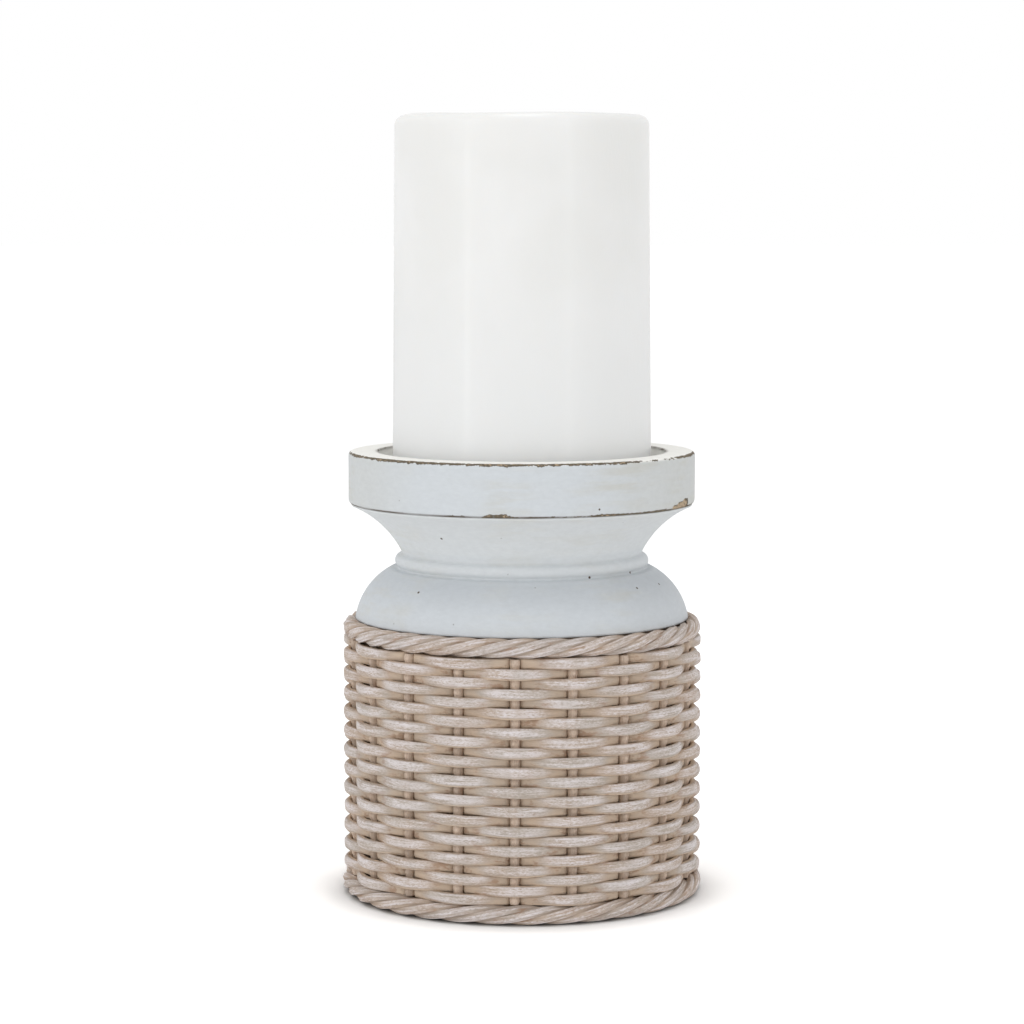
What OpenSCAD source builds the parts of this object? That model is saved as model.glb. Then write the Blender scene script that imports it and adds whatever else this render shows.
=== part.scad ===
// Pillar-candle holder: a turned, painted wooden top over a drum jacketed in woven wicker,
// with a twisted wicker rope round the top and the foot of the weave, and its candle.
// Millimetres, +Z up. The origin is the centre of the underside, and -Y is the front.

/* [Candle] */
// Diameter of the candle at its foot
candle_d = 76.6; // [66:0.2:84]
// How much narrower the candle is at its top
candle_taper = 2; // [0:0.1:5]
// Height of the candle
candle_h = 105.4; // [60:0.2:120]
// Radius of the rounded edge at the candle's top
candle_edge = 3; // [1:0.1:5]
// Width of the wax wall left round the burnt well
well_wall = 8; // [6:0.5:20]
// Depth of the burnt well in the candle's top
well_depth = 7; // [3:0.5:12]
// Radius where the well's wall turns into its floor
well_fillet = 4; // [1:0.25:6]
// Diameter of the braided wick
wick_d = 2.2; // [1.2:0.1:3.5]
// Length of the wick that stands above the well's floor
wick_tail = 5.5; // [2:0.5:6]
// Diameter of the steel tab that holds the wick's foot
wick_tab_d = 20; // [12:0.5:30]
// Thickness of the steel tab
wick_tab_t = 0.5; // [0.3:0.1:1]
// Height of the tab's collar
collar_h = 4; // [2:0.5:8]
// Wall of the tab's collar
collar_wall = 0.6; // [0.4:0.1:1]

/* [Candle plate] */
// Room between the candle and the wall of its recess
candle_gap = 4.2; // [1:0.1:8]
// Width of the raised rim round the recess
rim_w = 8.7; // [5:0.1:14]
// Height of the plate's outer band
rim_h = 15.3; // [12:0.1:24]
// Depth of the candle's recess
recess_depth = 7; // [3:0.25:8]
// Radius of the band's worn edges
rim_edge = 1; // [0.4:0.1:2]
// Chamfer on the recess's lip
lip_chamfer = 0.4; // [0.2:0.1:2]

/* [Neck] */
// Step in from the plate's band to the top of the cove
cove_step = 0.8; // [0.4:0.1:3]
// Height of the plain lip over the cove
cove_lip = 0.5; // [0.2:0.1:1.5]
// Height of the cove, with its lip
cove_h = 14.75; // [10:0.25:24]
// Radius of the cove's hollow curve
cove_curve = 30; // [18:0.5:40]
// Depth of the cove's foot inside the bead
cove_inset = 2.1; // [1.5:0.1:5]
// Diameter over the bead
bead_d = 75.2; // [68:0.2:80]
// Height of the bead
bead_h = 4; // [3:0.1:6]
// Height of the cut lines above and below the bead
quirk_h = 0.3; // [0.2:0.05:0.8]
// Width of the ledge below the bead
shoulder_ledge = 1.4; // [0.5:0.1:4]
// Height of the rounded shoulder
shoulder_h = 14.6; // [12:0.1:22]
// Radius of the shoulder's curve
shoulder_curve = 20; // [16:0.5:30]

/* [Wicker] */
// Number of stakes, odd so that one weaver can spiral over and under
stake_count = 19; // [15:2:23]
// Diameter of the circle that the stakes stand on
stake_circle_d = 99.2; // [94:0.2:106]
// Diameter of a stake
stake_d = 2.8; // [2:0.1:3.4]
// Width of a weaving strand
strand_d = 2.7; // [2:0.05:2.75]
// Height of one row of weaving
row_pitch = 2.81; // [2.7:0.01:3.6]
// Number of rows
row_count = 25; // [15:2:27]
// Number of lengths that the weaver is made of
weaver_count = 5; // [3:1:8]
// Angle each side of a stake over which a strand runs straight
strand_flat = 3.6; // [2.5:0.1:5]
// Number of stakes over which a row climbs to the next
climb_stakes = 3; // [1:2:5]
// Turn of the stakes from the front
stake_turn = -2.2; // [-9:0.1:9]

/* [Rope borders] */
// Thickness of the top rope
top_rope_d = 5.6; // [4.5:0.1:6.4]
// How far the top rope's centre lies outside the stakes
top_rope_outset = 0.6; // [0:0.1:1]
// Full twists of the top rope's strands in one turn round the drum
top_rope_twists = 9; // [6:1:11]
// Thickness of the foot rope
foot_rope_d = 5.5; // [4.5:0.1:6.4]
// How far the foot rope's centre lies outside the stakes
foot_rope_outset = 1.3; // [0:0.1:1.5]
// Full twists of the foot rope's strands in one turn round the drum
foot_rope_twists = 8; // [6:1:11]
// Number of strands in a rope
rope_strands = 4; // [4:1:5]
// Height of the foot rope above the table
foot_lift = 0.2; // [0.1:0.05:0.8]
// How far the shoulder stays inside the top rope's centre
shoulder_inset = 0.8; // [0:0.1:1.5]

/* [Base] */
// Thickness of the base disc
base_t = 4.6; // [3.5:0.1:6]
// Thickness of the felt under the base
felt_t = 1; // [0.8:0.1:2]
// Margin of bare base round the felt
felt_margin = 4; // [1:0.5:8]

/* [Joinery] */
// Diameter of the tenon on top of the neck
tenon_d = 30; // [24:1:40]
// Height of the tenon
tenon_h = 4; // [2:0.5:4.5]
// Diameter of the dowel between the neck and the drum
dowel_d = 12; // [8:1:18]
// Length of the dowel
dowel_l = 28; // [16:1:30]
// Shank diameter of the screw through the candle plate
plate_screw_d = 4; // [3:0.25:5]
// Head diameter of that screw
plate_screw_head_d = 8; // [7:0.25:9.5]
// Length of that screw
plate_screw_l = 22; // [18:1:24]
// Number of screws in the base
base_screw_count = 3; // [2:1:6]
// Diameter of the circle that the base screws stand on
base_screw_circle_d = 60; // [30:1:72]
// Shank diameter of a base screw
base_screw_d = 3.5; // [2.5:0.25:4]
// Head diameter of a base screw
base_screw_head_d = 7; // [6:0.25:8]
// Length of a base screw
base_screw_l = 18; // [12:1:30]

/* [Fits] */
// Gap between a piece and the one it is seated against
seat_gap = 0.15; // [0.1:0.05:0.3]
// Gap all round a dowel, tenon, screw or wick in its hole
hole_gap = 0.1; // [0.05:0.05:0.3]
// Room left past the end of a dowel, tenon or screw
end_room = 0.5; // [0.2:0.1:1]
// Gap between the foot rope and the base disc
base_gap = 0.3; // [0.2:0.1:0.6]

/* [Hidden] */
$fn = 96;

STRAND_SIDES = 5;
ROPE_RINGS_PER_TWIST = 8;
// How far a cutter runs past the face it cuts, or one block of a shape into the next
cut_over = 1;

// One rope strand's section, as [share of the rope's radius, share of the strand's half wedge]
ROPE_SECTION = [[0.2, 0], [0.72, -0.89], [0.99, -0.38], [0.99, 0.38], [0.72, 0.89]];

stake_step = 360 / stake_count;
stake_r = stake_circle_d / 2;
start_angle = -90 + stake_turn + (2 * floor(stake_count / 4) + 1) * stake_step;
climb_angle = climb_stakes * stake_step;
// Even, so that every length of weaver starts and ends behind a stake
crossing_count = 2 * floor((row_count * stake_count - climb_stakes) / 2);

strand_r = strand_d / 2;
strand_inner = strand_r * cos(180 / STRAND_SIDES);
strand_rise = strand_r * sin(72);
over_r = stake_r + stake_d / 2 + seat_gap + strand_inner;
under_r = stake_r - stake_d / 2 - seat_gap - strand_r;
drum_r = under_r - strand_inner - seat_gap;

foot_rope_r = stake_r + foot_rope_outset;
foot_rope_z = foot_lift + foot_rope_d / 2;
foot_rope_top = foot_lift + foot_rope_d;
base_r = foot_rope_r - foot_rope_d / 2 - base_gap;
base_top = felt_t + base_t;
weave_z = max(foot_rope_top, base_top) + seat_gap + strand_rise;
weave_top = weave_z + (row_count - 1) * row_pitch + strand_rise;
top_rope_r = stake_r + top_rope_outset;
top_rope_z = weave_top + seat_gap + top_rope_d / 2;

neck_z = top_rope_z + top_rope_d / 2 + seat_gap;
bead_r = bead_d / 2;
shoulder_r = top_rope_r - shoulder_inset;
shoulder_top = neck_z + shoulder_h;
bead_z = shoulder_top + quirk_h;
cove_z = bead_z + bead_h + quirk_h;
plate_z = cove_z + cove_h;
recess_r = candle_d / 2 + candle_gap;
rim_r = recess_r + rim_w;
recess_z = plate_z + rim_h - recess_depth;
cove_top_r = rim_r - cove_step;

wick_hole_r = wick_d / 2 + hole_gap;
collar_r = wick_hole_r + collar_wall;
well_floor = candle_h - well_depth;
candle_top_r = (candle_d - candle_taper) / 2;
well_r = candle_top_r - well_wall;

function stake_name(i) = str("stake_", i < 10 ? "0" : "", i);

// Centre of the circle of radius r through p and q, on the left of the way from p to q
function arc_centre(p, q, r) =
    let (half = (q - p) / 2, reach = norm(half))
    (p + q) / 2 + [-half[1], half[0]] * sqrt(r * r - reach * reach) / reach;

// Points along an arc, both ends included
function arc_points(centre, r, from, to, steps) =
    [for (i = [0:steps]) let (a = from + (to - from) * i / steps) centre + r * [cos(a), sin(a)]];

// A tube through rings of points, each ring running anticlockwise as seen along the path
module tube(rings, closed) {
    sides = len(rings[0]);
    spans = closed ? len(rings) : len(rings) - 1;
    points = [for (ring = rings) each ring];
    walls = [for (i = [0:spans - 1], j = [0:sides - 1])
        let (
            a = i * sides,
            b = (i + 1) % len(rings) * sides,
            k = (j + 1) % sides
        )
        each [[a + j, a + k, b + k], [a + j, b + k, b + j]]];
    caps = closed ? [] : [
        [for (j = [sides - 1:-1:0]) j],
        [for (j = [0:sides - 1]) (len(rings) - 1) * sides + j]
    ];
    polyhedron(points, concat(walls, caps));
}

// A countersunk wood screw pointing down, with the top of its head at the origin
module wood_screw(shank_d, head_d, length) {
    head_h = (head_d - shank_d) / 2;
    difference() {
        union() {
            translate([0, 0, -head_h]) cylinder(d1 = shank_d, d2 = head_d, h = head_h);
            translate([0, 0, shank_d - length]) cylinder(d = shank_d, h = length - shank_d - head_h);
            translate([0, 0, -length]) cylinder(d1 = shank_d / 4, d2 = shank_d, h = shank_d);
        }
        for (a = [0, 90])
            rotate(a) cube([head_d / 2, head_d / 10, head_h], center = true);
    }
}

// The hole for that screw, open at its top
module screw_hole(shank_d, head_d, length) {
    head_h = (head_d - shank_d) / 2;
    translate([0, 0, -length - end_room]) cylinder(d = shank_d + 2 * hole_gap, h = length + 2 * end_room);
    translate([0, 0, -head_h - hole_gap])
        cylinder(d1 = shank_d, d2 = head_d + 2 * hole_gap, h = head_h + hole_gap);
    cylinder(d = head_d + 2 * hole_gap, h = end_room);
}

module pillar_candle() {
    edge = arc_points([candle_top_r - candle_edge, candle_h - candle_edge], candle_edge, 0, 90, 6);
    cup = arc_points([well_r - well_fillet, well_floor + well_fillet], well_fillet, -90, 0, 6);
    above = candle_h + cut_over;
    color("ivory")
        translate([0, 0, recess_z])
            rotate_extrude()
                difference() {
                    polygon(concat([[0, 0], [candle_d / 2, 0]], edge, [[0, candle_h]]));
                    polygon(concat([[0, well_floor]], cup, [[well_r, above], [0, above]]));
                    translate([0, -cut_over]) {
                        square([wick_hole_r, candle_h]);
                        square([collar_r + hole_gap, wick_tab_t + collar_h + end_room + cut_over]);
                        square([wick_tab_d / 2 + hole_gap, wick_tab_t + end_room + cut_over]);
                    }
                }
}

module candle_wick() {
    color("ivory")
        translate([0, 0, recess_z + hole_gap])
            cylinder(d = wick_d, h = well_floor + wick_tail - hole_gap);
}

module wick_tab() {
    color("silver")
        translate([0, 0, recess_z + hole_gap])
            rotate_extrude()
                difference() {
                    union() {
                        square([wick_tab_d / 2, wick_tab_t]);
                        square([collar_r, wick_tab_t + collar_h]);
                    }
                    translate([0, -cut_over])
                        square([wick_hole_r, wick_tab_t + collar_h + 2 * cut_over]);
                }
}

module candle_plate() {
    color("lightgray")
        difference() {
            translate([0, 0, plate_z]) rotate_extrude() plate_profile();
            translate([0, 0, plate_z - cut_over])
                cylinder(d = tenon_d + 2 * hole_gap, h = tenon_h + end_room + cut_over);
            translate([0, 0, recess_z])
                screw_hole(plate_screw_d, plate_screw_head_d, plate_screw_l);
        }
}

module plate_profile() {
    difference() {
        union() {
            square([rim_r - rim_edge, rim_h]);
            translate([0, rim_edge]) square([rim_r, rim_h - 2 * rim_edge]);
            for (z = [rim_edge, rim_h - rim_edge])
                translate([rim_r - rim_edge, z]) circle(r = rim_edge);
        }
        translate([0, rim_h - recess_depth])
            polygon([
                [0, 0],
                [recess_r, 0],
                [recess_r, recess_depth - lip_chamfer],
                [recess_r + lip_chamfer, recess_depth],
                [recess_r + lip_chamfer, recess_depth + cut_over],
                [0, recess_depth + cut_over]
            ]);
    }
}

module plate_screw() {
    color("silver")
        translate([0, 0, recess_z - hole_gap])
            wood_screw(plate_screw_d, plate_screw_head_d, plate_screw_l);
}

module turned_neck() {
    color("lightgray")
        difference() {
            union() {
                rotate_extrude() neck_profile();
                translate([0, 0, plate_z - cut_over]) cylinder(d = tenon_d, h = tenon_h + cut_over);
            }
            translate([0, 0, recess_z])
                screw_hole(plate_screw_d, plate_screw_head_d, plate_screw_l);
            dowel_hole();
        }
}

module neck_profile() {
    cove_foot = [bead_r - cove_inset, cove_z];
    cove_head = [cove_top_r, plate_z - cove_lip];
    shoulder_foot = [shoulder_r, neck_z];
    shoulder_head = [bead_r + shoulder_ledge, shoulder_top];
    // The shoulder
    translate([0, neck_z]) square([shoulder_head[0] - shoulder_ledge, shoulder_h]);
    intersection() {
        translate(arc_centre(shoulder_foot, shoulder_head, shoulder_curve)) circle(r = shoulder_curve);
        translate([bead_r / 2, neck_z]) square([shoulder_curve * 2, shoulder_h]);
    }
    // The bead, with a cut line above and below it
    translate([0, shoulder_top - cut_over])
        square([bead_r - bead_h / 2, bead_h + 2 * (quirk_h + cut_over)]);
    translate([bead_r - bead_h / 2, bead_z + bead_h / 2]) circle(d = bead_h);
    // The cove
    difference() {
        translate([0, cove_z]) square([cove_top_r, cove_h]);
        translate(arc_centre(cove_head, cove_foot, cove_curve)) circle(r = cove_curve);
    }
}

module dowel_hole() {
    translate([0, 0, neck_z - dowel_l / 2 - end_room])
        cylinder(d = dowel_d + 2 * hole_gap, h = dowel_l + 2 * end_room);
}

module neck_dowel() {
    color("burlywood")
        translate([0, 0, neck_z - dowel_l / 2])
            cylinder(d = dowel_d, h = dowel_l);
}

module core_drum() {
    color("burlywood")
        difference() {
            translate([0, 0, base_top]) cylinder(r = drum_r, h = neck_z - base_top);
            dowel_hole();
            base_screw_places() screw_hole(base_screw_d, base_screw_head_d, base_screw_l);
        }
}

module base_disc() {
    color("burlywood")
        difference() {
            translate([0, 0, felt_t]) cylinder(r = base_r, h = base_t);
            base_screw_places() screw_hole(base_screw_d, base_screw_head_d, base_screw_l);
        }
}

// Each base screw's place, pointing up from the underside of the base disc
module base_screw_places() {
    for (i = [0:base_screw_count - 1])
        rotate(i * 360 / base_screw_count)
            translate([base_screw_circle_d / 2, 0, felt_t])
                mirror([0, 0, 1]) children();
}

module base_screws() {
    color("silver")
        base_screw_places()
            translate([0, 0, -hole_gap]) wood_screw(base_screw_d, base_screw_head_d, base_screw_l);
}

module felt_pad() {
    color("dimgray") cylinder(r = base_r - felt_margin, h = felt_t);
}

module stake(i) {
    foot = foot_rope_top + seat_gap;
    color("tan")
        rotate(start_angle + (i - 1) * stake_step)
            translate([stake_r, 0, foot])
                cylinder(d = stake_d, h = top_rope_z - top_rope_d / 2 - seat_gap - foot);
}

// The row that the spiral has reached: level, then a climb of one row at the end of each turn
function weave_level(turned) =
    let (climbed = (turned % 360 - (360 - climb_angle)) / climb_angle)
    floor(turned / 360) + max(0, min(1, climbed));

// One ring of a strand, crossing number i, at an angle from the middle of that stake
function strand_ring(i, offset) =
    let (
        turned = i * stake_step + offset,
        r = (i % 2 == 0 ? under_r : over_r) / cos(strand_flat),
        z = weave_z + row_pitch * weave_level(turned),
        a = start_angle + turned
    )
    [for (j = [0:STRAND_SIDES - 1])
        let (b = j * 360 / STRAND_SIDES, reach = r + strand_r * cos(b))
        [reach * cos(a), reach * sin(a), z + strand_r * sin(b)]];

// The crossing at which length i of the weaver ends, always behind a stake
function weaver_end(i) = 2 * round(i * crossing_count / weaver_count / 2);

// Where a length's rings stand from the middle of stake c: it starts and ends just short of it
function ring_offsets(c, first, last) =
    let (end_angle = asin(seat_gap / under_r))
    c == first ? [end_angle, strand_flat]
    : c == last ? [-strand_flat, -end_angle]
    : [-strand_flat, strand_flat];

// One length of the weaver, in behind the even stakes of its path and out over the odd ones
module weaver(i) {
    first = weaver_end(i - 1);
    last = weaver_end(i);
    color("tan")
        tube([for (c = [first:last], offset = ring_offsets(c, first, last)) strand_ring(c, offset)],
            false);
}

// One strand of a rope border, twisting round the rope's own centre line as that runs round
module rope_strand(ring_r, z, rope_d, twists, i) {
    rings = twists * ROPE_RINGS_PER_TWIST;
    wedge = 180 / rope_strands;
    color("tan")
        tube([for (n = [0:rings - 1])
            let (a = n * 360 / rings, twist = twists * a + i * 2 * wedge)
            [for (p = ROPE_SECTION)
                let (
                    r = ring_r + rope_d / 2 * p[0] * cos(twist + p[1] * wedge),
                    h = z + rope_d / 2 * p[0] * sin(twist + p[1] * wedge)
                )
                [r * cos(a), r * sin(a), h]]], true);
}

pillar_candle();
candle_wick();
wick_tab();
candle_plate();
plate_screw();
turned_neck();
neck_dowel();
core_drum();
base_disc();
base_screws();
felt_pad();
for (i = [1:stake_count])
    stake(i);
for (i = [1:weaver_count])
    weaver(i);
for (i = [1:rope_strands]) {
    rope_strand(top_rope_r, top_rope_z, top_rope_d, top_rope_twists, i);
    rope_strand(foot_rope_r, foot_rope_z, foot_rope_d, foot_rope_twists, i);
}
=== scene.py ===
import bpy
import numpy as np
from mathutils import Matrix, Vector
from mathutils.bvhtree import BVHTree


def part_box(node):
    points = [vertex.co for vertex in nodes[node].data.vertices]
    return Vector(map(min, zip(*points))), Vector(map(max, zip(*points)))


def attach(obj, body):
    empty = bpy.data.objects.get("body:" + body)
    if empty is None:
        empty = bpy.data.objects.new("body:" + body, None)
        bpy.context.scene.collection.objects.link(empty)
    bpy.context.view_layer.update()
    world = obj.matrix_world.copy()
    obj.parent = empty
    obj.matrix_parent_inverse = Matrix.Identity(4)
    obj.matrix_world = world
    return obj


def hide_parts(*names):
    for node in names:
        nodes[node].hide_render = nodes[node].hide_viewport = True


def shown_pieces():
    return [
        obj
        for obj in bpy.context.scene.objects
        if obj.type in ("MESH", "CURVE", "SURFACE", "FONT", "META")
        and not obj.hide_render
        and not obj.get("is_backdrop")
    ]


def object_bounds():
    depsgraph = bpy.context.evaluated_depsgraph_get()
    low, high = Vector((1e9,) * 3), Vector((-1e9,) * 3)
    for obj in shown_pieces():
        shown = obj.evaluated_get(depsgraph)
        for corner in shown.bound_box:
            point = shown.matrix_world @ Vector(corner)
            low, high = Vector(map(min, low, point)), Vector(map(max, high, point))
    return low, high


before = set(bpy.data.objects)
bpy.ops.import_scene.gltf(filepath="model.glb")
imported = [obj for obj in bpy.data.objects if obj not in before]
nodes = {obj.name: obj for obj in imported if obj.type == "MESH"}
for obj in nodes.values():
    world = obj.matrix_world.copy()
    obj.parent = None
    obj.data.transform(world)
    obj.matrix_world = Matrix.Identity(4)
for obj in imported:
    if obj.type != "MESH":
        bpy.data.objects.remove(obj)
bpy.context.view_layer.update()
mm = 0.001
print("frame loaded:", len(nodes), "nodes")


# The camera, and the points of the photograph that set it and the marks on the paint
camera = {
    "place": (0.0, -0.8989, 0.1997),
    "lookDown": 0.0965,  # radians below level
    "lookRight": -0.0032,  # radians to the right
    "lens": 107.2,
    "sensor": 36.0,
}
imageSize = (1024, 1024)
imagePoints = {
    "leftEdge": (344.0, None),
    "rightEdge": (703.5, None),
    "topEdge": (None, 110.5),
    "bottomEdge": (None, 924.4),
    "candleLeft": (394.5, 300.0),
    "candleRight": (650.0, 300.0),
    "rimLeft": (348.0, 490.0),
    "rimRight": (692.7, 490.0),
    "rimTopFront": (522.0, 464.8),
    "rimFootFront": (522.0, 519.0),
    "beadLeft": (396.0, 556.5),
    "rimChip": (682.0, 503.5),
    "rimScuff": (498.5, 517.0),
    "pinholeCove": (441.5, 538.7),
    "pinholeLeft": (418.5, 592.5),
    "pinholeMiddle": (589.5, 577.5),
    "pinholeRight": (637.0, 588.0),
    "pinholeFarRight": (659.0, 584.0),
    "pinholeUpper": (630.0, 572.5),
    "bandHole": (599.5, 509.5),
}


def addObject(name, data):
    thing = bpy.data.objects.new(name, data)
    bpy.context.scene.collection.objects.link(thing)
    return thing


def makeCamera():
    data = bpy.data.cameras.new("photoCamera")
    data.lens = camera["lens"]
    data.sensor_width = camera["sensor"]
    data.sensor_fit = "AUTO"
    eye = addObject("photoCamera", data)
    eye.location = camera["place"]
    eye.rotation_euler = (np.pi / 2 - camera["lookDown"], 0.0, -camera["lookRight"])
    bpy.context.scene.camera = eye
    bpy.context.view_layer.update()
    return eye


eye = makeCamera()


def pointRay(x, y):
    # direction = camera axes * (x - W/2 + shiftX L, H/2 - y + shiftY L, -L lens / sensor)
    width, height = imageSize
    longSide = max(width, height)
    data = eye.data
    local = Vector((
        x - width / 2 + data.shift_x * longSide,
        height / 2 - y + data.shift_y * longSide,
        -longSide * data.lens / data.sensor_width,
    ))
    return eye.matrix_world.translation, (eye.matrix_world.to_3x3() @ local).normalized()


def surfacePoint(tree, x, y):
    # where the ray of an image point meets the surface, or the place nearest the ray
    start, way = pointRay(x, y)
    hit = tree.ray_cast(start, way)[0]
    if hit is None:
        hit = tree.find_nearest(start + way * start.length)[0]
    return np.array(hit)


def project(points):
    # image x, y of points (n, 3): the inverse of pointRay
    width, height = imageSize
    longSide = max(width, height)
    data = eye.data
    turn = np.array(eye.matrix_world.to_3x3())
    local = (np.asarray(points, float) - np.array(eye.matrix_world.translation)) @ turn
    reach = longSide * data.lens / data.sensor_width / -local[:, 2]
    x = width / 2 - data.shift_x * longSide + local[:, 0] * reach
    y = height / 2 + data.shift_y * longSide - local[:, 1] * reach
    return np.stack([x, y], axis=1)


# Surfaces worked out as whole arrays
def gridQuads(index):
    # the four corners of each cell of a grid of vertex numbers
    corners = index[:-1, :-1], index[:-1, 1:], index[1:, 1:], index[1:, :-1]
    return np.stack(corners, axis=-1).reshape(-1, 4).tolist()


def gridIndex(grid, first=0):
    # vertex numbers of a grid (along, around), with the first column again at the end
    index = first + np.arange(grid.shape[0] * grid.shape[1]).reshape(grid.shape[:2])
    return np.concatenate([index, index[:, :1]], axis=1)


def gridMesh(name, grids, closedAlong=False, attributes=None):
    # surfaces P(u, v) on grids (along, around), one quad for each cell, with capped open ends
    grids = grids if isinstance(grids, list) else [grids]
    faces = []
    first = 0
    for grid in grids:
        index = gridIndex(grid, first)
        faces += gridQuads(np.concatenate([index, index[:1]]) if closedAlong else index)
        if not closedAlong:
            faces.append(index[0, :-1][::-1].tolist())
            faces.append(index[-1, :-1].tolist())
        first += grid.shape[0] * grid.shape[1]
    mesh = bpy.data.meshes.new(name)
    mesh.from_pydata(np.concatenate([grid.reshape(-1, 3) for grid in grids]), [], faces)
    for key, values in (attributes or {}).items():
        kind, field = ("FLOAT_VECTOR", "vector") if values.shape[-1] == 3 else ("FLOAT", "value")
        layer = mesh.attributes.new(key, kind, "POINT")
        layer.data.foreach_set(field, values.astype(np.float32).ravel())
    mesh.shade_smooth()
    mesh.update()
    return addObject(name, mesh)


def latheGrid(profile, segments):
    # P(u, v) = (r(u) cos v, r(u) sin v, z(u)), v from the back and anticlockwise from above
    angle = np.pi / 2 + 2 * np.pi * np.arange(segments) / segments
    r = profile[:, None, 0]
    z = np.broadcast_to(profile[:, None, 1], (len(profile), segments))
    grid = np.stack([r * np.cos(angle), r * np.sin(angle), z], axis=-1)
    return grid, angle, r, profile[:, None, 1]


def arcPoints(centre, radius, fromAngle, toAngle, steps):
    # centre + radius (cos a, sin a), both ends included, angles in degrees
    a = np.radians(np.linspace(fromAngle, toAngle, steps))
    return np.stack([centre[0] + radius * np.cos(a), centre[1] + radius * np.sin(a)], axis=1)


def arcBetween(p, q, radius, steps):
    # the arc of that radius from p to q whose centre is on the left of the way from p to q
    p, q = np.array(p), np.array(q)
    half = (q - p) / 2
    reach = np.hypot(*half)
    centre = (p + q) / 2 + np.array([-half[1], half[0]]) * np.sqrt(radius**2 - reach**2) / reach
    a = np.arctan2(*(p - centre)[::-1])
    b = np.arctan2(*(q - centre)[::-1])
    b = a + (b - a + np.pi) % (2 * np.pi) - np.pi
    t = np.linspace(a, b, steps)
    return centre + radius * np.stack([np.cos(t), np.sin(t)], axis=1)


def fillProfile(corners, step, closed=False):
    # straight runs between the profile's points are divided so that no part is longer than step
    if closed:
        return fillProfile(np.concatenate([corners, corners[:1]]), step)[:-1]
    parts = []
    for p, q in zip(corners[:-1], corners[1:]):
        count = max(1, int(np.ceil(np.hypot(*(q - p)) / step)))
        parts.append(p + (q - p) * np.arange(count)[:, None] / count)
    return np.concatenate(parts + [corners[-1:]])


def ringNoise(angle, height, waves, drift, seed):
    # a sum of cos(k angle + m height + phase), which closes round the axis, scaled to about -1..1
    draw = np.random.default_rng(seed)
    angle = angle[None]
    total = np.zeros(np.broadcast(angle, height).shape)
    for k in draw.integers(waves[0], waves[1] + 1, 14):
        m = draw.uniform(-drift, drift)
        total = total + np.cos(k * angle + m * height + draw.uniform(0, 2 * np.pi))
    return total / np.sqrt(14)


def finish(piece, body, slotName, replaced, material):
    piece.data.materials.append(material)
    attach(piece, body)
    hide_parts(*replaced)
    return piece


# Shader groups, each built once and placed in the materials
def newGroup(name, inputs, outputs):
    # an empty shader node group; inputs are {name: value}, outputs {name: socket kind}
    group = bpy.data.node_groups.new(name, "ShaderNodeTree")
    for key, value in inputs.items():
        kind = "Float" if isinstance(value, float) else {3: "Vector", 4: "Color"}[len(value)]
        socket = group.interface.new_socket(key, in_out="INPUT", socket_type="NodeSocket" + kind)
        socket.default_value = value
    for key, kind in outputs.items():
        group.interface.new_socket(key, in_out="OUTPUT", socket_type="NodeSocket" + kind)
    return group, group.nodes.new("NodeGroupInput").outputs


def closeGroup(group, results):
    addNode(group, "NodeGroupOutput", results)
    return group


def addNode(tree, kind, inputs=None, **settings):
    # a node with its settings, whose inputs are values or the output sockets that feed them
    node = tree.nodes.new(kind)
    for key, value in settings.items():
        setattr(node, key, value)
    for key, value in (inputs or {}).items():
        if isinstance(value, bpy.types.NodeSocket):
            tree.links.new(value, node.inputs[key])
        else:
            node.inputs[key].default_value = value
    return node


def maths(tree, operation, a, b=0.0, c=0.0, clamp=False):
    node = addNode(tree, "ShaderNodeMath", {0: a, 1: b, 2: c}, operation=operation, use_clamp=clamp)
    return node.outputs[0]


def times(tree, a, b, clamp=False):
    return maths(tree, "MULTIPLY", a, b, clamp=clamp)


def timesPlus(tree, a, b, c, clamp=False):
    return maths(tree, "MULTIPLY_ADD", a, b, c, clamp)


def stretched(tree, vector, scale):
    node = addNode(tree, "ShaderNodeMapping", {"Vector": vector, "Scale": scale})
    return node.outputs["Vector"]


def noise(tree, vector, scale, detail, rough):
    inputs = {"Vector": vector, "Scale": scale, "Detail": detail, "Roughness": rough}
    return addNode(tree, "ShaderNodeTexNoise", inputs).outputs["Fac"]


def spread(tree, value, low, high, toLow=0.0, toHigh=1.0, shape="SMOOTHSTEP"):
    inputs = {"Value": value, "From Min": low, "From Max": high, "To Min": toLow, "To Max": toHigh}
    return addNode(tree, "ShaderNodeMapRange", inputs, interpolation_type=shape).outputs["Result"]


def blendColour(tree, share, a, b):
    return addNode(tree, "ShaderNodeMix", {0: share, 6: a, 7: b}, data_type="RGBA").outputs[2]


def shaded(tree, colour, value):
    inputs = {"Color": colour, "Value": value}
    return addNode(tree, "ShaderNodeHueSaturation", inputs).outputs["Color"]


def srgb(r, g, b):
    # display values 0..255 to a linear colour
    c = np.array([r, g, b]) / 255
    linear = np.where(c <= 0.04045, c / 12.92, ((c + 0.055) / 1.055) ** 2.4)
    return (*linear.tolist(), 1.0)


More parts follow.
